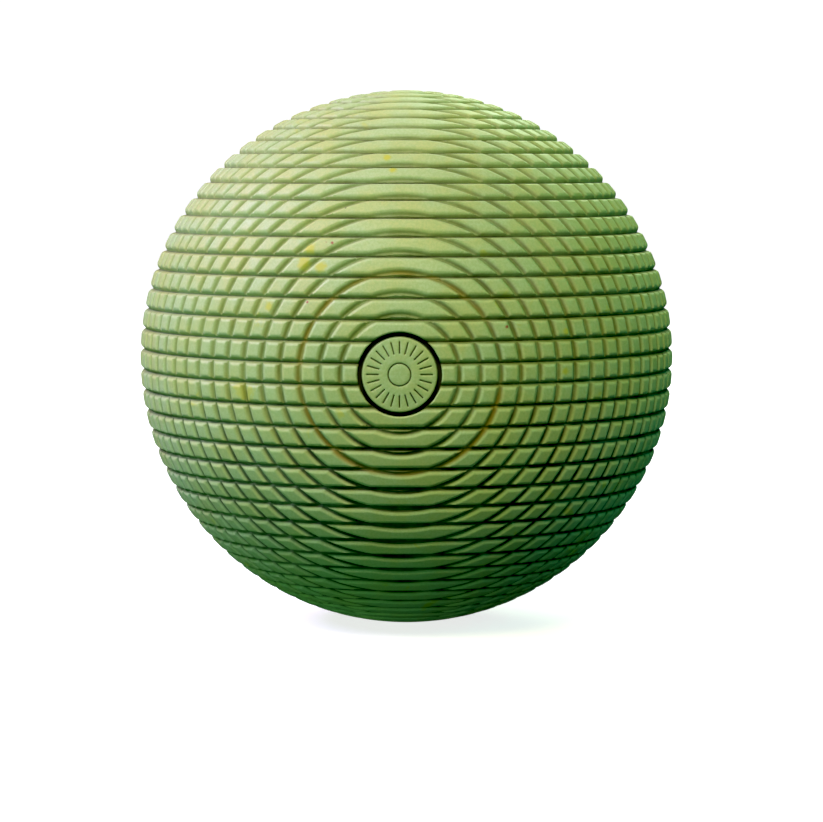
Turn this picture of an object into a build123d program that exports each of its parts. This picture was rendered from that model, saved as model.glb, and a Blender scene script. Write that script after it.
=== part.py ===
from build123d import *
import math
import os

# Association croquet ball: a composition core inside a moulded plastic cover. The cover is two
# half shells, and a round plug with an engraved medallion closes each pole. The origin is the
# centre of the ball, +Z is up, and the front medallion faces -Y.

# Driving dimensions, in millimetres and degrees.
BALL_DIAMETER = 92.08
CORE_DIAMETER = 79.2
BOND_LINE = 0.05

# The milling is two families of ring grooves. Level rings run round +Z, with a row of pads on the
# equator. Pole rings run round -Y, and the first of them hides the joint between the half shells.
LEVEL_RINGS = 20
LEVEL_PITCH = 180 / (2 * LEVEL_RINGS + 1)
LEVEL_DEPTH = 0.50
POLE_RINGS = 19
POLE_PITCH = 65 / 15
POLE_DEPTH = 0.44
GROOVE_WIDTH = 0.80
TOOL_OVERRUN = 0.60

# The plug's joint runs along the bottom of one pole ring.
PLUG_JOINT_RING = 16

# The medallion is a flanged button in a round pocket. The gap round its face is the moat.
POCKET_RADIUS = 6.80
POCKET_DEPTH = 2.60
FLANGE_HEIGHT = 1.00
FACE_RADIUS = 6.07
FACE_INSET = 0.05
FACE_EDGE_RADIUS = 0.30
ENGRAVING_DEPTH = 0.16
ENGRAVED_RING_RADIUS = 1.80
ENGRAVED_RING_WIDTH = 0.22
BAR_COUNT = 24
BAR_INNER_RADIUS = 3.40
BAR_OUTER_RADIUS = 5.20
BAR_WIDTH = 0.32

BALL_RADIUS = BALL_DIAMETER / 2
FACE_DOME_RADIUS = BALL_RADIUS - FACE_INSET
COVER_INNER_RADIUS = CORE_DIAMETER / 2 + BOND_LINE
GROOVE_HALF_ANGLE = math.degrees(GROOVE_WIDTH / 2 / BALL_RADIUS)
PLUG_JOINT = 90 - PLUG_JOINT_RING * POLE_PITCH
MOULDING_SIDE = Rot(90, 0, 0)
HALF_TURN = Rot(0, 0, 180)
ON_EQUATOR = 1e-6


def polar(radius, angle):
    """A point of the XZ plane, by its distance from the centre and its angle from +Z."""
    turn = math.radians(angle)
    return (radius * math.sin(turn), 0, radius * math.cos(turn))


def arc(radius, start, end):
    """The part of a circle about the centre that lies between two angles from +Z."""
    middle = (start + end) / 2
    return ThreePointArc(polar(radius, start), polar(radius, middle), polar(radius, end))


def outer_bands(start, end, rings):
    """(first angle, last angle, radius) of each land and each groove bottom, from start to end."""
    bands = []
    angle = start
    for ring in rings:
        first = max(ring - GROOVE_HALF_ANGLE, start)
        last = min(ring + GROOVE_HALF_ANGLE, end)
        if first > angle:
            bands.append((angle, first, BALL_RADIUS))
        bands.append((first, last, BALL_RADIUS - POLE_DEPTH))
        angle = last
    if angle < end:
        bands.append((angle, end, BALL_RADIUS))
    return bands


def cover_sector(start, end, rings):
    """The cover between two angles from -Y, with its pole rings turned into it."""
    section = []
    radius = COVER_INNER_RADIUS
    for first, last, outer in outer_bands(start, end, rings):
        section.append(Line(polar(radius, first), polar(outer, first)))
        section.append(arc(outer, first, last))
        radius = outer
    section.append(Line(polar(radius, end), polar(COVER_INNER_RADIUS, end)))
    section.append(arc(COVER_INNER_RADIUS, end, start))
    return MOULDING_SIDE * revolve(Face(Wire(section)), Axis.Z)


def level_ring_tool(angle):
    """A ring about +Z with radial walls, which cuts the groove at an angle from +Z."""
    bottom = BALL_RADIUS - LEVEL_DEPTH
    top = BALL_RADIUS + TOOL_OVERRUN
    upper = angle - GROOVE_HALF_ANGLE
    lower = angle + GROOVE_HALF_ANGLE
    section = [
        Line(polar(bottom, upper), polar(top, upper)),
        arc(top, upper, lower),
        Line(polar(top, lower), polar(bottom, lower)),
        arc(bottom, lower, upper),
    ]
    return revolve(Face(Wire(section)), Axis.Z)


def milled(blank, reach):
    """A blank with the level rings cut as far as its reach, from an upper half and its mirror."""
    half = split(blank, Plane.XY, keep=Keep.TOP)
    for index in range(LEVEL_RINGS):
        height = (index + 0.5) * LEVEL_PITCH
        if height - GROOVE_HALF_ANGLE < reach:
            half -= level_ring_tool(90 - height)
    upper_faces = [face for face in half.faces() if face.bounding_box().max.Z > ON_EQUATOR]
    lower_faces = [mirror(face, Plane.XY) for face in upper_faces]
    return Solid(Shell(upper_faces + lower_faces))


def pole_ring_angles(first_ring, last_ring):
    """The angles from -Y of a run of pole rings, in rising order."""
    return [90 - ring * POLE_PITCH for ring in range(last_ring, first_ring - 1, -1)]


def make_half_cover():
    """The half shell from the plug's joint back to the equator of the two poles."""
    rings = pole_ring_angles(0, PLUG_JOINT_RING)
    return milled(cover_sector(PLUG_JOINT, 90, rings), 90)


def make_plug():
    """The plug, with the milling running across it and the medallion's pocket at its middle."""
    rings = pole_ring_angles(PLUG_JOINT_RING, POLE_RINGS - 1)
    blank = cover_sector(0, PLUG_JOINT, rings)
    floor = BALL_RADIUS - POCKET_DEPTH
    pocket = Pos(0, -floor, 0) * MOULDING_SIDE * Cylinder(
        POCKET_RADIUS, 2 * POCKET_DEPTH, align=(Align.CENTER, Align.CENTER, Align.MIN)
    )
    return milled(blank - pocket, PLUG_JOINT)


def medallion_blank():
    """The button about +Z: a flange on the pocket's floor and a face domed like the ball."""
    floor = BALL_RADIUS - POCKET_DEPTH
    shoulder = floor + FLANGE_HEIGHT
    edge_x = FACE_RADIUS - FACE_EDGE_RADIUS
    edge_z = math.sqrt((FACE_DOME_RADIUS - FACE_EDGE_RADIUS) ** 2 - edge_x**2)
    rim_angle = math.degrees(math.atan2(edge_x, edge_z))
    edge_middle = math.radians((rim_angle + 90) / 2)
    bulge_x = edge_x + FACE_EDGE_RADIUS * math.sin(edge_middle)
    bulge_z = edge_z + FACE_EDGE_RADIUS * math.cos(edge_middle)
    sides = Polyline(
        polar(FACE_DOME_RADIUS, 0),
        (0, 0, floor),
        (POCKET_RADIUS, 0, floor),
        (POCKET_RADIUS, 0, shoulder),
        (FACE_RADIUS, 0, shoulder),
        (FACE_RADIUS, 0, edge_z),
    )
    rounded_edge = ThreePointArc(
        (FACE_RADIUS, 0, edge_z), (bulge_x, 0, bulge_z), polar(FACE_DOME_RADIUS, rim_angle)
    )
    dome = arc(FACE_DOME_RADIUS, rim_angle, 0)
    return revolve(Face(Wire([*sides.edges(), rounded_edge, dome])), Axis.Z)


def engraving_tool():
    """Everything the engraver cuts: a fine ring and a band of plain bars, down to one depth."""
    height = POCKET_DEPTH + TOOL_OVERRUN
    base = Pos(0, 0, BALL_RADIUS - POCKET_DEPTH / 2)
    ring = Cylinder(ENGRAVED_RING_RADIUS + ENGRAVED_RING_WIDTH / 2, height)
    ring -= Cylinder(ENGRAVED_RING_RADIUS - ENGRAVED_RING_WIDTH / 2, height)
    bar = Box(BAR_OUTER_RADIUS - BAR_INNER_RADIUS, BAR_WIDTH, height)
    middle = (BAR_OUTER_RADIUS + BAR_INNER_RADIUS) / 2
    cuts = [base * ring]
    for index in range(BAR_COUNT):
        cuts.append(base * Rot(0, 0, index * 360 / BAR_COUNT) * Pos(middle, 0, 0) * bar)
    return Compound(cuts) - Sphere(FACE_DOME_RADIUS - ENGRAVING_DEPTH)


def make_medallion():
    """The button that fills the pocket, engraved on its face."""
    return MOULDING_SIDE * (medallion_blank() - engraving_tool())


def make_core():
    """The composition ball inside the cover."""
    return Sphere(CORE_DIAMETER / 2)


half_cover = make_half_cover()
plug = make_plug()
medallion = make_medallion()

# The rear mouldings are the same as the front ones, turned half-way round.
pieces = {
    "core": make_core(),
    "front_cover": half_cover,
    "rear_cover": HALF_TURN * half_cover,
    "front_plug": plug,
    "rear_plug": HALF_TURN * plug,
    "front_medallion": medallion,
    "rear_medallion": HALF_TURN * medallion,
}

os.makedirs("parts", exist_ok=True)
for name, piece in pieces.items():
    export_step(piece, f"parts/{name}.step")
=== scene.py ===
import math

import bmesh
import bpy
import numpy as np
from mathutils import Matrix, Vector


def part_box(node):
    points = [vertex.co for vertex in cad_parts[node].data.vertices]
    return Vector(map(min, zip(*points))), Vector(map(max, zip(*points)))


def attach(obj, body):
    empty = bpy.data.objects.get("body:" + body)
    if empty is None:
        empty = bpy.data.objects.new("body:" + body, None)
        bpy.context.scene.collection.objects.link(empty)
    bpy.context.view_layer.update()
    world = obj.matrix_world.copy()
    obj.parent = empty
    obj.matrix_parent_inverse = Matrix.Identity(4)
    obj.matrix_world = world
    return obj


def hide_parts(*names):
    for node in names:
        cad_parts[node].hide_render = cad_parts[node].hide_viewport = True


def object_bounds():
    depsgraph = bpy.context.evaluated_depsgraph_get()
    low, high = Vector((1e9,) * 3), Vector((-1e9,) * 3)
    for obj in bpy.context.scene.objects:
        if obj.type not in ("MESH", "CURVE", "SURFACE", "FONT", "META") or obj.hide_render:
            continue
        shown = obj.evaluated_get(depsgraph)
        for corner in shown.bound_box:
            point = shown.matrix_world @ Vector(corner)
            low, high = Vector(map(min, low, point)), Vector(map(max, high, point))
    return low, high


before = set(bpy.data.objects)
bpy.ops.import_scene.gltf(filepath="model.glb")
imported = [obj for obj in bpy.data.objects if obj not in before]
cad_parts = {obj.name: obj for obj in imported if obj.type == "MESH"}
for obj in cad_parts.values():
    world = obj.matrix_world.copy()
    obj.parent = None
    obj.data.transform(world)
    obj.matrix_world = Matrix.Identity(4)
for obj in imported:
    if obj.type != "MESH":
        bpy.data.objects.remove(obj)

cad_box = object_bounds()
MM = 0.001

# ---------------------------------------------------------------- sizes, from the frame
core_low, core_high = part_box("core")
button_low, button_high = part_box("front_medallion")
ball_low, ball_high = cad_box
BALL_RADIUS = (ball_high[2] - ball_low[2]) / 2
CORE_RADIUS = (core_high[0] - core_low[0]) / 2
POCKET_RADIUS = (button_high[0] - button_low[0]) / 2
BUTTON_HEIGHT = button_high[1] - button_low[1]
MOAT_WIDTH = 0.73 * MM
FACE_RADIUS = POCKET_RADIUS - MOAT_WIDTH


def around(azimuth, elevation, distance):
    """A place round the ball. Azimuth 0 is in front of the medallion and 90 is on its right."""
    a = math.radians(azimuth)
    e = math.radians(elevation)
    level = math.cos(e)
    return Vector((math.sin(a) * level, -math.cos(a) * level, math.sin(e))) * distance


# ---------------------------------------------------------------- the milling
# Level rings run round +Z and pole rings round -Y. Both are counted from their middle plane:
# level rings lie half a pitch off it and pole rings on it.
LEVEL_RINGS = 20
LEVEL_PITCH = math.radians(180 / (2 * LEVEL_RINGS + 1))
POLE_RINGS = 19
POLE_PITCH = math.radians(65 / 15)
PLUG_JOINT_RING = 16
LEVEL_HALF_WIDTH = 1.00 * MM
LEVEL_DEPTH = 0.78 * MM
LEVEL_POWERS = (1.2, 2.5)
POLE_HALF_WIDTH = 0.98 * MM
POLE_DEPTH = 0.56 * MM
POLE_POWERS = (1.7, 2.9)
# Mesh lines across a groove, as shares of its half width.
PROFILE_SHARES = (-1, -0.66, -0.38, -0.15, 0, 0.15, 0.38, 0.66, 1)
# Near the side of the ball, cells are also cut at these steps of the unit sphere's x.
SLICE_STEP = 0.02
SLICES = 26
MOAT_EDGE_RADIUS = 0.30 * MM
MOAT_EDGE_SHARES = (1.0, 0.66, 0.36, 0.13, 0.0)
# The gap left between pieces that are bonded together.
BOND_LINE = 0.05 * MM
POCKET_FLOOR = BALL_RADIUS - BUTTON_HEIGHT - BOND_LINE


def level_offsets():
    """Angles above the equator of every mesh line that follows a level ring."""
    half = LEVEL_HALF_WIDTH / BALL_RADIUS
    angles = [0.0]
    for ring in range(LEVEL_RINGS):
        middle = (ring + 0.5) * LEVEL_PITCH
        for share in PROFILE_SHARES:
            angles.append(middle + half * share)
    return angles


def pole_offsets(first_ring, last_ring, stop):
    """Angles in front of the middle plane of every mesh line that follows a pole ring."""
    half = POLE_HALF_WIDTH / BALL_RADIUS
    start = first_ring * POLE_PITCH
    angles = []
    for ring in range(first_ring, last_ring + 1):
        middle = ring * POLE_PITCH
        for share in PROFILE_SHARES:
            angle = middle + half * share
            if start - 1e-9 <= angle <= stop + 1e-9:
                angles.append(angle)
    return angles


class Octant:
    """Cells between two families of planes, y = const and z = const, on one eighth of a unit
    sphere. Near x = 0 the families run side by side, so cells there are also cut at x levels.
    Points are (x, y, z) with z up, and faces are lists of point numbers."""

    def __init__(self, y_lines, z_lines):
        self.y_lines = y_lines
        self.z_lines = z_lines
        self.points = []
        self.index = {}
        self.faces = []
        for i in range(len(y_lines) - 1):
            for j in range(len(z_lines) - 1):
                if y_lines[i] ** 2 + z_lines[j] ** 2 < 1 - 1e-12:
                    self.add_cell(i, j)

    def crossing(self, i, j):
        """Where lines i and j meet, as (x, key), or None if they don't."""
        square = 1 - self.y_lines[i] ** 2 - self.z_lines[j] ** 2
        if square <= 1e-12:
            return None
        return math.sqrt(square), ("cross", i, j)

    def number(self, key, x):
        """The index of a point on one or two lines at height x."""
        if key in self.index:
            return self.index[key]
        kind, first, second = key
        if kind == "cross":
            y = self.y_lines[first]
            z = self.z_lines[second]
        elif kind == "on_y":
            y = self.y_lines[first]
            z = math.sqrt(max(1 - y * y - x * x, 0))
        else:
            z = self.z_lines[first]
            y = math.sqrt(max(1 - z * z - x * x, 0))
        self.index[key] = len(self.points)
        self.points.append((x, y, z))
        return self.index[key]

    def chain(self, i, j, along_y, far, levels):
        """One side of a cell from its near corner down to its far end, as {level: keys}."""
        if along_y:
            corner = self.crossing(i, j + 1)
        else:
            corner = self.crossing(i + 1, j)
        turn = corner[0] if corner else -1
        points = []
        for number, level in levels:
            if along_y:
                key = ("on_y", i, number) if level > turn else ("on_z", j + 1, number)
            else:
                key = ("on_z", j, number) if level > turn else ("on_y", i + 1, number)
            points.append((level, key))
        if corner and corner[0] > far:
            points.append(corner)
        points.sort(key=lambda point: -point[0])
        return points

    def add_cell(self, i, j):
        near = self.crossing(i, j)
        across = self.crossing(i + 1, j + 1)
        far = across[0] if across else 0.0
        levels = [(k, k * SLICE_STEP) for k in range(SLICES)]
        inside = [(k, x) for k, x in levels if far < x < near[0] or (x == 0 and not across)]
        left = self.chain(i, j, True, far, inside)
        right = self.chain(i, j, False, far, inside)
        cuts = sorted((x for _, x in inside), reverse=True)
        tops = [near[0]] + cuts
        bottoms = cuts + ([far] if across else [])
        for top, bottom in zip(tops, bottoms):
            side_a = [point for point in left if bottom <= point[0] <= top]
            side_b = [point for point in right if bottom <= point[0] <= top]
            loop = list(side_a)
            if top == near[0]:
                loop = [near] + loop
            if across and bottom == far:
                loop.append(across)
            loop += reversed(side_b)
            corners = [self.number(key, x) for x, key in loop]
            if len(set(corners)) >= 3:
                self.faces.append(corners)


def groove_profile(distance, half_width, full_depth, powers):
    """Depth of a groove and its slope, at a distance from its middle line. The first power
    rounds the bottom and the second rounds the shoulders."""
    bottom, shoulder = powers
    share = np.clip(distance / half_width, 0, 1)
    left = 1 - share**bottom
    depth = full_depth * left**shoulder
    steep = shoulder * left ** (shoulder - 1) * bottom * share ** (bottom - 1)
    return depth, -full_depth / half_width * steep


def nearest_ring(angles, pitch, start, count):
    """Signed distance along the sphere from each point to the nearest ring of one family."""
    ring = np.clip(np.round(angles / pitch - start), 0, count - 1)
    return (angles - (ring + start) * pitch) * BALL_RADIUS


def moat_edge(points):
    """How far the rounded lip of the moat drops, and how steeply, at each unit vector."""
    radius = BALL_RADIUS * np.hypot(points[:, 0], points[:, 2])
    inward = np.clip(POCKET_RADIUS + MOAT_EDGE_RADIUS - radius, 0, MOAT_EDGE_RADIUS)
    level = np.sqrt(MOAT_EDGE_RADIUS**2 - inward**2)
    steep = inward / np.maximum(level, 0.3 * MOAT_EDGE_RADIUS)
    return MOAT_EDGE_RADIUS - level, steep


def milled_skin(points):
    """Places and normals on the milled surface, for unit vectors of one eighth of the ball."""
    level = np.arcsin(np.clip(points[:, 2], 0, 1))
    pole = np.arcsin(np.clip(points[:, 1], 0, 1))
    level_distance = nearest_ring(level, LEVEL_PITCH, 0.5, LEVEL_RINGS)
    pole_distance = nearest_ring(pole, POLE_PITCH, 0, POLE_RINGS)
    level_depth, level_slope = groove_profile(
        np.abs(level_distance), LEVEL_HALF_WIDTH, LEVEL_DEPTH, LEVEL_POWERS
    )
    pole_depth, pole_slope = groove_profile(
        np.abs(pole_distance), POLE_HALF_WIDTH, POLE_DEPTH, POLE_POWERS
    )
    depth = np.maximum(level_depth, pole_depth)
    moat_depth, moat_rise = moat_edge(points)
    even = np.abs(level_depth - pole_depth) < 1e-3 * MM
    level_share = np.where(even, 0.5, (level_depth > pole_depth) * 1.0)
    level_rise = -level_slope * np.sign(level_distance) * level_share
    pole_rise = -pole_slope * np.sign(pole_distance) * (1 - level_share) - moat_rise
    up = np.zeros_like(points)
    up[:, 2] = 1
    up -= points * points[:, 2:]
    out = np.zeros_like(points)
    out[:, 1] = 1
    out -= points * points[:, 1:2]
    up /= np.maximum(np.linalg.norm(up, axis=1, keepdims=True), 1e-9)
    out /= np.maximum(np.linalg.norm(out, axis=1, keepdims=True), 1e-9)
    normals = points - level_rise[:, None] * up - pole_rise[:, None] * out
    normals /= np.linalg.norm(normals, axis=1, keepdims=True)
    return points * (BALL_RADIUS - depth - moat_depth)[:, None], normals


# ---------------------------------------------------------------- meshes
class Piece:
    """Points, faces and the normal of every face corner, gathered for one mesh."""

    def __init__(self):
        self.points = np.zeros((0, 3))
        self.faces = []
        self.corner_normals = []

    def add_points(self, points):
        first = len(self.points)
        self.points = np.vstack([self.points, points])
        return first

    def add_faces(self, faces, outward, normals=None):
        """Adds faces turned to the side that outward(centre) gives. Without normals they're
        shaded flat."""
        for face in faces:
            corners = self.points[face]
            turned = np.roll(corners, -1, axis=0)
            newell = np.cross(corners, turned).sum(axis=0)
            if newell @ outward(corners.mean(axis=0)) < 0:
                face = face[::-1]
                newell = -newell
            self.faces.append([int(corner) for corner in face])
            if normals is None:
                flat = newell / max(np.linalg.norm(newell), 1e-15)
                self.corner_normals.extend([flat] * len(face))
            else:
                self.corner_normals.extend(normals[face])

    def make(self, name, turn):
        """The mesh object, turned about Z."""
        rotation = np.array(Matrix.Rotation(turn, 3, "Z"))
        mesh = bpy.data.meshes.new(name)
        mesh.from_pydata((self.points @ rotation.T).tolist(), [], self.faces)
        mesh.polygons.foreach_set("use_smooth", [True] * len(mesh.polygons))
        normals = np.array(self.corner_normals) @ rotation.T
        mesh.normals_split_custom_set(normals.tolist())
        piece = bpy.data.objects.new(name, mesh)
        bpy.context.scene.collection.objects.link(piece)
        return piece


def four_octants(octant):
    """The front half of the sphere from its upper right eighth, as points, faces and the
    number in the eighth that each point comes from."""
    eighth = np.array(octant.points)
    points = []
    source = []
    faces = []
    numbers = {}
    for side in (1, -1):
        for height in (1, -1):
            local = []
            for index, (x, y, z) in enumerate(eighth):
                key = (index, side if x > 1e-12 else 0, height if z > 1e-12 else 0)
                if key not in numbers:
                    numbers[key] = len(points)
                    points.append((x * side, -y, z * height))
                    source.append(index)
                local.append(numbers[key])
            faces += [[local[corner] for corner in face] for face in octant.faces]
    return np.array(points), faces, np.array(source)


def in_front(vectors, points):
    """Vectors of the first eighth, mirrored to where their points are in the front half."""
    signs = np.sign(points)
    signs[signs == 0] = 1
    signs[:, 1] = -1
    return vectors * signs


def rim(points, height):
    """Indices of the points on the plane y = -height, in order round the Y axis."""
    on_rim = np.nonzero(np.abs(points[:, 1] + height) < 1e-9)[0]
    angles = np.arctan2(points[on_rim, 2], points[on_rim, 0])
    return on_rim[np.argsort(angles)]


def zip_loops(piece, first, second):
    """Triangles between two loops of points that both run once round the Y axis."""
    first = list(first) + [first[0]]
    second = list(second) + [second[0]]

    def angles(loop):
        turned = [math.atan2(piece.points[i][2], piece.points[i][0]) for i in loop]
        turned[-1] += 2 * math.pi
        return turned

    first_angles = angles(first)
    second_angles = angles(second)
    faces = []
    i = 0
    j = 0
    while i < len(first) - 1 or j < len(second) - 1:
        first_next = i < len(first) - 1 and (
            j == len(second) - 1 or first_angles[i + 1] <= second_angles[j + 1]
        )
        if first_next:
            faces.append([first[i], first[i + 1], second[j]])
            i += 1
        else:
            faces.append([first[i], second[j + 1], second[j]])
            j += 1
    return faces


def add_skin(piece, y_lines, z_lines, radius=None):
    """Adds a part of the milled surface, or of the plain inner sphere where a radius is
    given, and returns its unit vectors and the number of its first point."""
    octant = Octant(y_lines, z_lines)
    unit, faces, source = four_octants(octant)
    if radius is None:
        places, normals = milled_skin(np.array(octant.points))
        places = in_front(places[source], unit)
        normals = in_front(normals[source], unit)
    else:
        places = unit * radius
        normals = -unit
    first = piece.add_points(places)
    all_normals = np.vstack([np.zeros((first, 3)), normals])
    sign = 1 if radius is None else -1
    shifted = [np.array(face) + first for face in faces]
    piece.add_faces(shifted, lambda centre: sign * centre, all_normals)
    return unit, first


QUARTER = math.radians(90)
INNER_RADIUS = CORE_RADIUS + BOND_LINE
JOINT = PLUG_JOINT_RING * POLE_PITCH
JOINT_LINE = math.sin(JOINT)
Z_LINES = [math.sin(angle) for angle in level_offsets()] + [1.0]
INNER_ROWS = 16
COVER_INNER_ROWS = 12
PLUG_INNER_ROWS = 4
COARSE_Z_LINES = [math.sin(QUARTER * k / INNER_ROWS) for k in range(INNER_ROWS + 1)]


def joint_outward(towards_front):
    """The side that the plug joint's cone faces, at a place on it."""

    def outward(centre):
        direction = np.array([centre[0], 0, centre[2]])
        direction = direction / np.linalg.norm(direction) * math.sin(JOINT)
        direction[1] = math.cos(JOINT)
        return -direction if towards_front else direction

    return outward


def cover_joint_outward(centre):
    """The side that the flat joint of the front cover faces, which is to the rear."""
    return np.array([0, 1, 0])


def half_cover():
    """A half shell: the milled skin, the flat joint of the two covers, the plug's seat and the
    inside."""
    piece = Piece()
    y_lines = [math.sin(angle) for angle in pole_offsets(0, PLUG_JOINT_RING, JOINT)]
    outer, outer_first = add_skin(piece, y_lines, Z_LINES)
    coarse = [math.sin(JOINT * k / COVER_INNER_ROWS) for k in range(COVER_INNER_ROWS + 1)]
    inner, inner_first = add_skin(piece, coarse, COARSE_Z_LINES, INNER_RADIUS)
    for height, outward in ((0.0, cover_joint_outward), (JOINT_LINE, joint_outward(True))):
        outer_rim = rim(outer, height) + outer_first
        inner_rim = rim(inner, height) + inner_first
        piece.add_faces(zip_loops(piece, outer_rim, inner_rim), outward)
    return piece


def plug():
    """A pole plug: the milled skin, the moat's wall and floor, the joint's cone, the inside."""
    piece = Piece()
    moat_lines = [
        math.sqrt(1 - ((POCKET_RADIUS + MOAT_EDGE_RADIUS * share) / BALL_RADIUS) ** 2)
        for share in MOAT_EDGE_SHARES
    ]
    pole_lines = pole_offsets(PLUG_JOINT_RING, POLE_RINGS - 1, QUARTER)
    y_lines = [math.sin(angle) for angle in pole_lines if math.sin(angle) < moat_lines[0]]
    y_lines += moat_lines
    outer, outer_first = add_skin(piece, y_lines, Z_LINES)
    rows = range(PLUG_INNER_ROWS + 1)
    coarse = [math.sin(JOINT + (QUARTER - JOINT) * k / PLUG_INNER_ROWS) for k in rows]
    inner, inner_first = add_skin(piece, coarse, COARSE_Z_LINES, INNER_RADIUS)
    outer_rim = rim(outer, JOINT_LINE) + outer_first
    inner_rim = rim(inner, JOINT_LINE) + inner_first
    piece.add_faces(zip_loops(piece, outer_rim, inner_rim), joint_outward(False))
    lip = rim(outer, y_lines[-1]) + outer_first
    bottom = piece.points[lip].copy()
    bottom[:, 1] = -POCKET_FLOOR
    foot = np.arange(len(lip)) + piece.add_points(bottom)
    centre = piece.add_points(np.array([[0, -POCKET_FLOOR, 0]]))
    after = np.roll(np.arange(len(lip)), -1)
    wall = [[lip[k], lip[after[k]], foot[after[k]], foot[k]] for k in range(len(lip))]
    piece.add_faces(wall, lambda place: np.array([-place[0], 0, -place[2]]))
    floor = [[foot[k], foot[after[k]], centre] for k in range(len(lip))]
    piece.add_faces(floor, lambda place: np.array([0, -1, 0]))
    return piece


# ---------------------------------------------------------------- the medallion
BAR_COUNT = 24
BAR_SPAN = (3.40 * MM, 5.20 * MM)
# Columns of points between two bars, as shares of the way from one to the next.
BETWEEN_BARS = (0.4, 0.6)
FINE_RING = 1.80 * MM
# Rings of points where the face is plain.
PLAIN_RADII = [0.5 * MM, 1.0 * MM, 2.5 * MM, 2.8 * MM]
ENGRAVED_WIDTH = 0.22 * MM
ENGRAVED_DEPTH = 0.17 * MM
FACE_EDGE = 0.34 * MM
FLANGE_HEIGHT = 1.0 * MM
FLANGE_GAP = 0.03 * MM
FACE_DROP = 0.05 * MM
DOME_RADIUS = BALL_RADIUS - FACE_DROP


def engraved(distance):
    """Depth of an engraved line at a distance from its middle."""
    share = np.clip(np.abs(distance) / ENGRAVED_WIDTH, 0, 1)
    return ENGRAVED_DEPTH * (1 + math.cos(math.pi * share)) / 2


def medallion_radii():
    """The radii of the rings of points on the button's face."""
    radii = [FINE_RING + ENGRAVED_WIDTH * k / 4 for k in range(-4, 5)]
    for end in BAR_SPAN:
        radii += [end + ENGRAVED_WIDTH * k / 3 for k in range(-3, 4)]
    start, stop = BAR_SPAN
    radii += [start + (stop - start) * k / 4 for k in (1, 2, 3)]
    radii += PLAIN_RADII
    flat = FACE_RADIUS - FACE_EDGE
    radii += [flat + FACE_EDGE * math.sin(QUARTER * k / 8) for k in range(9)]
    return sorted(radii)


def medallion():
    """The button: an engraved dome with a rounded edge, standing on a flange in the pocket."""
    across = [ENGRAVED_WIDTH * k / 4 for k in range(-4, 5)]
    sector = 2 * math.pi / BAR_COUNT
    flat = FACE_RADIUS - FACE_EDGE
    shoulder = POCKET_FLOOR + FLANGE_HEIGHT
    rings = []
    for radius in medallion_radii():
        ring = []
        dome = math.sqrt(DOME_RADIUS**2 - radius**2)
        rounding = max(radius - flat, 0)
        drop = FACE_EDGE - math.sqrt(max(FACE_EDGE**2 - rounding**2, 0))
        for bar in range(BAR_COUNT):
            narrow = min(1, radius / BAR_SPAN[0])
            columns = [(bar * sector, offset * narrow) for offset in across]
            columns += [((bar + share) * sector, 0.0) for share in BETWEEN_BARS]
            for number, (angle, offset) in enumerate(columns):
                angle += math.asin(min(offset / radius, 1))
                beyond = max(BAR_SPAN[0] - radius, radius - BAR_SPAN[1], 0)
                near_bar = number < len(across)
                from_bar = math.hypot(offset, beyond) if near_bar else ENGRAVED_WIDTH
                cut = max(engraved(from_bar), engraved(radius - FINE_RING))
                height = dome - drop - cut
                ring.append((radius * math.sin(angle), -height, radius * math.cos(angle)))
        rings.append(ring)
    edge = rings[-1]
    for radius, height in (
        (FACE_RADIUS, shoulder),
        (POCKET_RADIUS - FLANGE_GAP, shoulder),
        (POCKET_RADIUS - FLANGE_GAP, POCKET_FLOOR),
    ):
        scale = radius / FACE_RADIUS
        rings.append([(x * scale, -height, z * scale) for x, _, z in edge])
    count = len(edge)
    points = [point for ring in rings for point in ring]
    faces = []
    for row in range(len(rings) - 1):
        near = row * count
        far = near + count
        for k in range(count):
            after = (k + 1) % count
            faces.append([near + k, near + after, far + after, far + k])
    centre = len(points)
    points.append((0, -DOME_RADIUS, 0))
    faces += [[centre, (k + 1) % count, k] for k in range(count)]
    back = len(points)
    points.append((0, -POCKET_FLOOR, 0))
    last = (len(rings) - 1) * count
    faces += [[back, last + k, last + (k + 1) % count] for k in range(count)]
    return points, faces


SHARP_ANGLE = math.radians(50)


def plain_piece(name, points, faces, turn):
    """A smooth-shaded mesh object, turned about Z, with its hard edges kept sharp."""
    rotation = Matrix.Rotation(turn, 3, "Z")
    mesh = bpy.data.meshes.new(name)
    mesh.from_pydata([rotation @ Vector(point) for point in points], [], faces)
    mesh.polygons.foreach_set("use_smooth", [True] * len(mesh.polygons))
    mesh.set_sharp_from_angle(angle=SHARP_ANGLE)
    piece = bpy.data.objects.new(name, mesh)
    bpy.context.scene.collection.objects.link(piece)
    return piece


CORE_SUBDIVISIONS = 5


def composition_core(name):
    """The core: a plain ball of even triangles."""
    mesh = bpy.data.meshes.new(name)
    shape = bmesh.new()
    bmesh.ops.create_icosphere(shape, subdivisions=CORE_SUBDIVISIONS, radius=CORE_RADIUS)
    shape.to_mesh(mesh)
    shape.free()
    mesh.polygons.foreach_set("use_smooth", [True] * len(mesh.polygons))
    piece = bpy.data.objects.new(name, mesh)
    bpy.context.scene.collection.objects.link(piece)
    return piece


# ---------------------------------------------------------------- materials
FLOOR_GLOW = 0.78
BACKDROP_GLOW = 1.02


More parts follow.
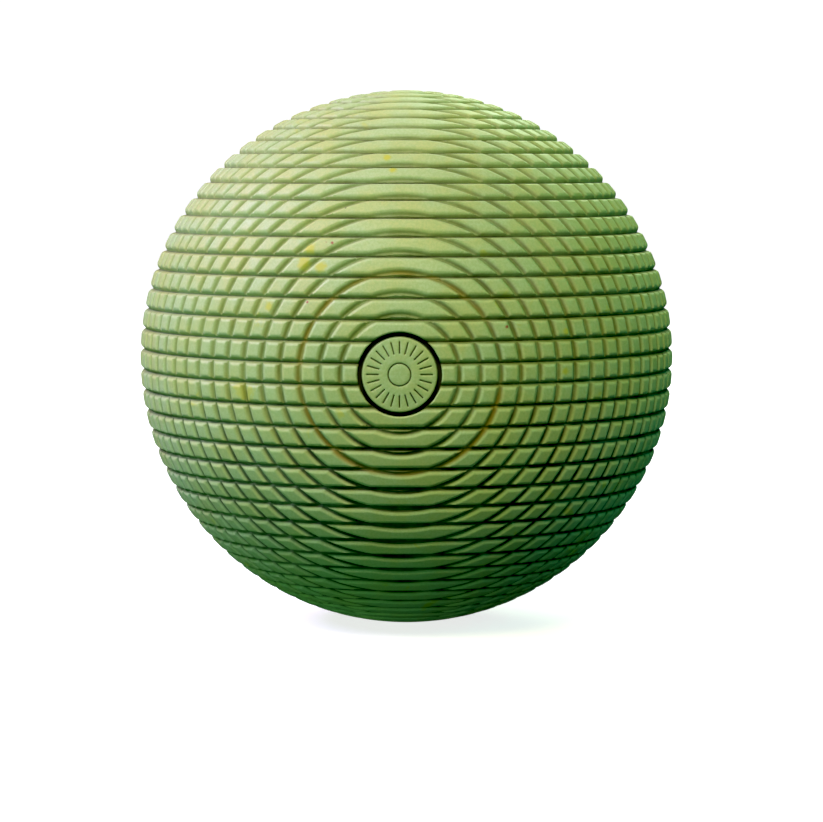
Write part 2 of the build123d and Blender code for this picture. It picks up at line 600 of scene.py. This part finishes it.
class Shader:
    """A Principled material, with short calls for the nodes that drive it."""

    def __init__(self, name):
        self.material = bpy.data.materials.new(name)
        self.material.use_nodes = True
        self.tree = self.material.node_tree
        self.surface = self.tree.nodes["Principled BSDF"]
        self.place = self.node("ShaderNodeTexCoord").outputs["Object"]

    def node(self, kind, **settings):
        node = self.tree.nodes.new(kind)
        for key, value in settings.items():
            setattr(node, key, value)
        return node

    def feed(self, socket, value):
        """Sets an input to a value, or links it to another node's output."""
        if isinstance(value, bpy.types.NodeSocket):
            self.tree.links.new(value, socket)
        else:
            socket.default_value = value

    def maths(self, operation, first, second=0.0):
        node = self.node("ShaderNodeMath", operation=operation)
        self.feed(node.inputs[0], first)
        self.feed(node.inputs[1], second)
        return node.outputs[0]

    def spread(self, value, low, high, start=0.0, stop=1.0, kind="SMOOTHSTEP"):
        """Maps low..high to start..stop, held at both ends."""
        node = self.node("ShaderNodeMapRange", interpolation_type=kind, clamp=True)
        for name, number in (
            ("Value", value),
            ("From Min", low),
            ("From Max", high),
            ("To Min", start),
            ("To Max", stop),
        ):
            self.feed(node.inputs[name], number)
        return node.outputs["Result"]

    def noise(self, size, detail=2.0, roughness=0.5, seed=0.0, distortion=0.0):
        """Noise whose features are about size metres across."""
        node = self.node("ShaderNodeTexNoise", noise_dimensions="4D")
        self.feed(node.inputs["Vector"], self.place)
        for name, number in (
            ("W", seed),
            ("Scale", 1 / size),
            ("Detail", detail),
            ("Roughness", roughness),
            ("Distortion", distortion),
        ):
            self.feed(node.inputs[name], number)
        return node.outputs["Fac"]

    def mix(self, share, first, second):
        node = self.node("ShaderNodeMix", data_type="RGBA")
        self.feed(node.inputs["Factor"], share)
        self.feed(node.inputs["A"], first)
        self.feed(node.inputs["B"], second)
        return node.outputs["Result"]

    def bump(self, height, distance, strength, under=None):
        node = self.node("ShaderNodeBump")
        self.feed(node.inputs["Height"], height)
        self.feed(node.inputs["Distance"], distance)
        self.feed(node.inputs["Strength"], strength)
        if under is not None:
            self.feed(node.inputs["Normal"], under)
        return node.outputs["Normal"]


SAGE = (0.48, 0.62, 0.29, 1)
OLIVE = (0.52, 0.59, 0.21, 1)
SAGE_DEEP = (0.36, 0.52, 0.17, 1)
# Groove colours: olive dirt with painted shade in the grooves, and near-black painted shade
# with some dirt at their bottoms.
OLIVE_DIRT_AND_SHADE = (0.115, 0.15, 0.010, 1)
DEEP_DIRT_AND_SHADE = (0.012, 0.020, 0.002, 1)
STAIN_YELLOW = (0.56, 0.56, 0.04, 1)
JOINT_BROWN = (0.29, 0.22, 0.015, 1)
# Painted shade: near-black for the deep moat round the medallion.
MOAT_PAINTED_SHADE = (0.012, 0.018, 0.004, 1)
CORK_LIGHT = (0.42, 0.26, 0.13, 1)
CORK_BROWN = (0.30, 0.17, 0.08, 1)
RESIN_DARK = (0.10, 0.05, 0.025, 1)
SPECK_RED = (0.35, 0.03, 0.01, 1)
SPECK_BLACK = (0.02, 0.02, 0.015, 1)


def sunk(shader, top, depth):
    """How deep a place lies under the sphere of radius top, from 0 to 1 at the depth."""
    length = shader.node("ShaderNodeVectorMath", operation="LENGTH")
    shader.feed(length.inputs[0], shader.place)
    return shader.spread(length.outputs["Value"], top - depth, top, 1.0, 0.0, "LINEAR")


def pole_angle(shader):
    """The angle at the ball's centre from the nearer medallion's axis, in radians."""
    unit = shader.node("ShaderNodeVectorMath", operation="NORMALIZE")
    shader.feed(unit.inputs[0], shader.place)
    parts = shader.node("ShaderNodeSeparateXYZ")
    shader.feed(parts.inputs[0], unit.outputs["Vector"])
    return shader.maths("ARCCOSINE", shader.maths("ABSOLUTE", parts.outputs["Y"]))


def specks(shader, colour, under, size, spacing, seed):
    """Scattered round specks of one colour over another."""
    shifted = shader.node("ShaderNodeVectorMath", operation="ADD")
    shader.feed(shifted.inputs[0], shader.place)
    shifted.inputs[1].default_value = (seed, seed * 0.7, -seed)
    cells = shader.node("ShaderNodeTexVoronoi")
    shader.feed(cells.inputs["Vector"], shifted.outputs["Vector"])
    cells.inputs["Scale"].default_value = 1 / spacing
    edge = size / spacing
    share = shader.spread(cells.outputs["Distance"], 0.6 * edge, edge, 1.0, 0.0)
    return shader.mix(share, under, colour)


# Azimuth and elevation in degrees, radius in mm and colour of each stain on the front cover.
STAINS = (
    (-20.6, 25.6, 1.3, STAIN_YELLOW),
    (-21.4, 22.4, 1.5, STAIN_YELLOW),
    (-17.3, 21.6, 1.3, STAIN_YELLOW),
    (-28.2, 13.3, 1.0, STAIN_YELLOW),
    (-4.6, 48.3, 0.9, STAIN_YELLOW),
    (-2.5, 44.8, 0.9, STAIN_YELLOW),
    (35.8, 8.1, 0.8, STAIN_YELLOW),
    (35.3, 0.1, 0.8, STAIN_YELLOW),
    (48.4, 31.0, 0.55, SPECK_RED),
    (22.1, 9.3, 0.42, SPECK_RED),
    (-15.5, 26.8, 0.38, SPECK_RED),
    (-19.5, 14.3, 0.32, SPECK_RED),
    (-12.6, 54.2, 0.42, SPECK_BLACK),
    (-18.6, 22.8, 0.32, SPECK_BLACK),
    (58.1, -7.2, 0.30, SPECK_BLACK),
)


def stained(shader, colour):
    """The colour with each stain laid over it, its edge broken up by noise."""
    ragged = shader.noise(1.1 * MM, 3.0, 0.7, seed=12.0)
    for azimuth, elevation, radius, tint in STAINS:
        away = shader.node("ShaderNodeVectorMath", operation="DISTANCE")
        shader.feed(away.inputs[0], shader.place)
        away.inputs[1].default_value = around(azimuth, elevation, BALL_RADIUS)
        size = radius * MM
        wobble = shader.maths("MULTIPLY", ragged, size)
        reach = shader.maths("ADD", away.outputs["Value"], wobble)
        share = shader.spread(reach, 0.8 * size, 1.55 * size, 0.85, 0.0)
        colour = shader.mix(share, colour, tint)
    return colour


def mottled(shader):
    """The plastic's own colour: sage and olive in soft clouds, with a fine darker grain."""
    mottle = shader.spread(shader.noise(7 * MM, 3.0, 0.6), 0.36, 0.64)
    cloud = shader.spread(shader.noise(26 * MM, 2.0, 0.5, seed=4.0), 0.4, 0.7)
    grain = shader.spread(shader.noise(0.42 * MM, 2.0, 0.7, seed=2.0), 0.38, 0.62)
    patch = shader.noise(6 * MM, 3.0, 0.6, seed=7.3, distortion=0.6)
    patch = shader.spread(patch, 0.64, 0.72)
    colour = shader.mix(mottle, SAGE, OLIVE)
    colour = shader.mix(shader.maths("MULTIPLY", cloud, 0.30), colour, SAGE_DEEP)
    colour = shader.mix(shader.maths("MULTIPLY", grain, 0.45), colour, SAGE_DEEP)
    return shader.mix(shader.maths("MULTIPLY", patch, 0.55), colour, STAIN_YELLOW)


def dirt_and_painted_shade(shader, colour, low):
    """The colour with dirt and painted shade over it where the surface lies low, and how much
    of it there is.
    The grooves are painted lighter on the left and at the top, where the light falls, and
    painted blacker in the lower half, where shade falls."""
    parts = shader.node("ShaderNodeSeparateXYZ")
    shader.feed(parts.inputs[0], shader.place)
    across = parts.outputs["X"]
    height = parts.outputs["Z"]
    # Painted light: the grooves are painted lighter on the left and towards the top, where the
    # light falls, with less dirt and shade there.
    left = shader.spread(across, -0.75 * BALL_RADIUS, -0.05 * BALL_RADIUS, 0.62, 1.0)
    top = shader.spread(height, 0.20 * BALL_RADIUS, 0.75 * BALL_RADIUS, 1.0, 0.78)
    # Painted shade: the grooves are painted blacker in the lower half, where shade falls.
    painted_lower_shade = shader.spread(height, -0.40 * BALL_RADIUS, 0.10 * BALL_RADIUS, 0.34, 0.0)
    uneven = shader.spread(shader.noise(5 * MM, 3.0, 0.6, seed=9.0), 0.25, 0.75, 0.6, 1.0)
    dirt_and_painted_light = shader.maths("MULTIPLY", uneven, shader.maths("MULTIPLY", left, top))
    # Olive dirt with painted shade in the grooves, by depth.
    groove_dirt_and_shade = shader.maths("MULTIPLY", shader.spread(low, 0.12, 0.58), dirt_and_painted_light)
    colour = shader.mix(shader.maths("MULTIPLY", groove_dirt_and_shade, 0.9), colour, OLIVE_DIRT_AND_SHADE)
    # Near-black painted shade, with some dirt, at the groove bottoms.
    black_dirt_and_shade = shader.spread(shader.maths("ADD", low, painted_lower_shade), 0.70, 0.92)
    black_dirt_and_shade = shader.maths("MULTIPLY", black_dirt_and_shade, shader.maths("MULTIPLY", dirt_and_painted_light, 0.95))
    colour = shader.mix(black_dirt_and_shade, colour, DEEP_DIRT_AND_SHADE)
    # Painted shade: the deep moat round the medallion is near-black.
    moat_shade_share = shader.spread(sunk(shader, BALL_RADIUS, 1.5 * MM), 0.50, 0.85)
    return shader.mix(moat_shade_share, colour, MOAT_PAINTED_SHADE), groove_dirt_and_shade


def joint_stained(shader, colour):
    """The colour with a broken brown stain along the joint of cover and plug."""
    wander = shader.noise(8 * MM, 3.0, 0.6, seed=1.0)
    wander = shader.spread(wander, 0.2, 0.8, -0.006, 0.006)
    off = shader.maths("SUBTRACT", pole_angle(shader), QUARTER - JOINT)
    reach = shader.maths("ADD", shader.maths("ABSOLUTE", off), wander)
    band = shader.spread(reach, 0.004, 0.017, 1.0, 0.0)
    broken = shader.spread(shader.noise(12 * MM, 3.0, 0.6, seed=3.1), 0.36, 0.58)
    share = shader.maths("MULTIPLY", shader.maths("MULTIPLY", band, broken), 0.75)
    return shader.mix(share, colour, JOINT_BROWN)


def moulded_plastic(name, top, depth, joint=False, stains=False):
    """Weathered satin plastic, with dirt and painted shade in grooves that lie up to depth
    under the sphere of radius top, with or without the stain of the plug joint and the front
    cover's own stains."""
    shader = Shader(name)
    # Dirt and painted shade in the grooves.
    colour, groove_dirt_and_shade = dirt_and_painted_shade(shader, mottled(shader), sunk(shader, top, depth))
    if joint:
        colour = joint_stained(shader, colour)
    colour = specks(shader, SPECK_BLACK, colour, 0.22 * MM, 8 * MM, 0.013)
    colour = specks(shader, SPECK_RED, colour, 0.30 * MM, 14 * MM, 0.041)
    if stains:
        colour = stained(shader, colour)
    shader.feed(shader.surface.inputs["Base Color"], colour)
    rough = shader.noise(3 * MM, 3.0, 0.6, seed=5.0)
    rough = shader.spread(rough, 0.3, 0.7, 0.47, 0.60)
    rough = shader.maths("ADD", rough, shader.maths("MULTIPLY", groove_dirt_and_shade, 0.3))
    shader.feed(shader.surface.inputs["Roughness"], rough)
    shader.surface.inputs["IOR"].default_value = 1.48
    shader.surface.inputs["Specular IOR Level"].default_value = 0.5
    uneven = shader.bump(shader.noise(2.2 * MM, 2.0, 0.5, seed=6.0), 0.05 * MM, 0.5)
    fine = shader.noise(0.35 * MM, 3.0, 0.6, seed=8.0)
    fine = shader.bump(fine, 0.012 * MM, 0.6, uneven)
    shader.feed(shader.surface.inputs["Normal"], fine)
    return shader.material


def cork_composition(name):
    """Bonded cork: light granules with dark resin between them."""
    shader = Shader(name)
    cells = shader.node("ShaderNodeTexVoronoi")
    shader.feed(cells.inputs["Vector"], shader.place)
    cells.inputs["Scale"].default_value = 1 / (2.2 * MM)
    gap = shader.spread(cells.outputs["Distance"], 0.35, 0.75)
    colour = shader.mix(gap, CORK_LIGHT, RESIN_DARK)
    colour = shader.mix(shader.spread(shader.noise(0.6 * MM), 0.4, 0.7), colour, CORK_BROWN)
    shader.feed(shader.surface.inputs["Base Color"], colour)
    shader.feed(shader.surface.inputs["Roughness"], shader.spread(gap, 0.0, 1.0, 0.8, 0.6))
    shader.feed(shader.surface.inputs["Normal"], shader.bump(gap, 0.2 * MM, 0.6))
    return shader.material


def studio_white(name):
    """Pale seamless paper that glows a little, and more with distance, up to plain white."""
    shader = Shader(name)
    tone = shader.mix(shader.noise(0.08, 3.0), (0.86, 0.86, 0.855, 1), (0.89, 0.89, 0.885, 1))
    shader.feed(shader.surface.inputs["Base Color"], tone)
    shader.surface.inputs["Roughness"].default_value = 0.9
    shader.surface.inputs["Specular IOR Level"].default_value = 0.1
    shader.surface.inputs["Emission Color"].default_value = (1, 1, 1, 1)
    away = shader.node("ShaderNodeVectorMath", operation="LENGTH")
    shader.feed(away.inputs[0], shader.place)
    glow = shader.spread(away.outputs["Value"], 0.15, 0.70, FLOOR_GLOW, BACKDROP_GLOW)
    shader.feed(shader.surface.inputs["Emission Strength"], glow)
    return shader.material


def dress(piece, material):
    """Gives a piece its one material."""
    piece.data.materials.clear()
    piece.data.materials.append(material)


# ---------------------------------------------------------------- the ball
cover_plastic = moulded_plastic(
    "cover_plastic_moulded", BALL_RADIUS, LEVEL_DEPTH, joint=True, stains=True
)
plug_plastic = moulded_plastic("plug_plastic_moulded", BALL_RADIUS, LEVEL_DEPTH, joint=True)
medallion_plastic = moulded_plastic("medallion_plastic_moulded", DOME_RADIUS, ENGRAVED_DEPTH)

cover_piece = half_cover()
plug_piece = plug()
button_points, button_faces = medallion()
for side, turn in (("front", 0.0), ("rear", math.pi)):
    shell = cover_piece.make(f"{side}_milled_cover", turn)
    dress(shell, cover_plastic)
    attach(shell, "root")
    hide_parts(f"{side}_cover")
    pole_plug = plug_piece.make(f"{side}_milled_plug", turn)
    dress(pole_plug, plug_plastic)
    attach(pole_plug, "root")
    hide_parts(f"{side}_plug")
    button = plain_piece(f"{side}_engraved_medallion", button_points, button_faces, turn)
    dress(button, medallion_plastic)
    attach(button, "root")
    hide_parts(f"{side}_medallion")

core = composition_core("composition_core")
dress(core, cork_composition("core_bonded_cork"))
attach(core, "root")
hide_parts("core")

# ---------------------------------------------------------------- the studio
FLOOR_HALF_WIDTH = 2.4
BACKDROP_HEIGHT = 2.5
BEND_RADIUS = 0.5
BEND_STEPS = 12
LIGHT_DISTANCE = 0.9
# Azimuth and elevation in degrees, side in metres, watts and colour of each softbox.
LIGHTS = (
    ("key_softbox", -60, 38, 0.35, 5.2, (0.57, 0.52, 1.0)),
    ("top_softbox", 0, 46, 0.35, 4.6, (1.0, 0.83, 0.43)),
    ("left_rear_softbox", -100, 40, 0.35, 6.2, (0.81, 0.57, 1.0)),
    ("left_fill", -55, -12, 0.5, 2.35, (0.36, 1.0, 0.52)),
    ("right_fill", 55, -4, 0.5, 0.6, (0.44, 1.0, 0.68)),
    ("right_softbox", 70, 30, 0.4, 1.4, (0.12, 1.0, 0.74)),
    ("rear_softbox", 160, 40, 0.45, 4.5, (0.82, 1.0, 0.70)),
)


def stage_floor():
    """A pale floor that the ball stands on, curving up into a backdrop far behind it."""
    bend_start = FLOOR_HALF_WIDTH - BEND_RADIUS
    profile = [(-FLOOR_HALF_WIDTH, 0.0), (bend_start, 0.0)]
    for step in range(1, BEND_STEPS + 1):
        turn = QUARTER * step / BEND_STEPS
        y = bend_start + BEND_RADIUS * math.sin(turn)
        profile.append((y, BEND_RADIUS - BEND_RADIUS * math.cos(turn)))
    profile.append((FLOOR_HALF_WIDTH, BACKDROP_HEIGHT))
    sides = (-FLOOR_HALF_WIDTH, FLOOR_HALF_WIDTH)
    points = [(x, y, z - BALL_RADIUS) for y, z in profile for x in sides]
    faces = [[2 * k, 2 * k + 1, 2 * k + 3, 2 * k + 2] for k in range(len(profile) - 1)]
    mesh = bpy.data.meshes.new("studio_floor")
    mesh.from_pydata(points, [], faces)
    mesh.polygons.foreach_set("use_smooth", [True] * len(mesh.polygons))
    floor = bpy.data.objects.new("studio_floor", mesh)
    bpy.context.scene.collection.objects.link(floor)
    dress(floor, studio_white("studio_paper"))
    floor.visible_diffuse = False
    floor.visible_glossy = False
    floor.visible_shadow = False


def softbox(name, azimuth, elevation, side, power, colour):
    """A square area light that faces the ball."""
    data = bpy.data.lights.new(name, "AREA")
    data.shape = "RECTANGLE"
    data.size = side
    data.size_y = side
    data.energy = power
    data.color = colour
    lamp = bpy.data.objects.new(name, data)
    lamp.location = around(azimuth, elevation, LIGHT_DISTANCE)
    lamp.rotation_euler = (-lamp.location).to_track_quat("-Z", "Y").to_euler()
    bpy.context.scene.collection.objects.link(lamp)


stage_floor()
for light in LIGHTS:
    softbox(*light)
# The world is plain white behind the backdrop and doesn't light the ball.
world = bpy.data.worlds.new("studio")
bpy.context.scene.world = world
world.use_nodes = True
background = world.node_tree.nodes["Background"]
background.inputs["Color"].default_value = (1, 1, 1, 1)
background.inputs["Strength"].default_value = 1.0
world.cycles_visibility.diffuse = False
world.cycles_visibility.glossy = False
# The photo's darks are crushed, so the tone curve takes a little off the bottom.
BLACK_LEVEL = (0.010, 0.010, 0.007)
tone = bpy.context.scene.view_settings
tone.view_transform = "Standard"
tone.use_curve_mapping = True
tone.curve_mapping.black_level = BLACK_LEVEL
tone.curve_mapping.update()

# ---------------------------------------------------------------- the camera
SENSOR_WIDTH = 36
CAMERA_AZIMUTH = 1.38
CAMERA_ELEVATION = 3.6
CAMERA_DISTANCE = 11.6 * BALL_RADIUS
# The focal length and where the ball sits in the frame, in widths of the frame.
FOCAL_WIDTHS = 3.735
BALL_LEFT_OF_MIDDLE = 0.0061
BALL_ABOVE_MIDDLE = 0.0661

lens = bpy.data.cameras.new("camera")
lens.sensor_width = SENSOR_WIDTH
lens.lens = FOCAL_WIDTHS * SENSOR_WIDTH
lens.clip_start = 0.01
lens.clip_end = 20
camera = bpy.data.objects.new("camera", lens)
camera.location = around(CAMERA_AZIMUTH, CAMERA_ELEVATION, CAMERA_DISTANCE)
facing = (-camera.location).to_track_quat("-Z", "Y")
pan = Matrix.Rotation(-math.atan(BALL_LEFT_OF_MIDDLE / FOCAL_WIDTHS), 4, "Y")
tip = Matrix.Rotation(-math.atan(BALL_ABOVE_MIDDLE / FOCAL_WIDTHS), 4, "X")
camera.rotation_euler = (facing.to_matrix().to_4x4() @ pan @ tip).to_euler()
bpy.context.scene.collection.objects.link(camera)
bpy.context.scene.camera = camera

bpy.context.view_layer.update()
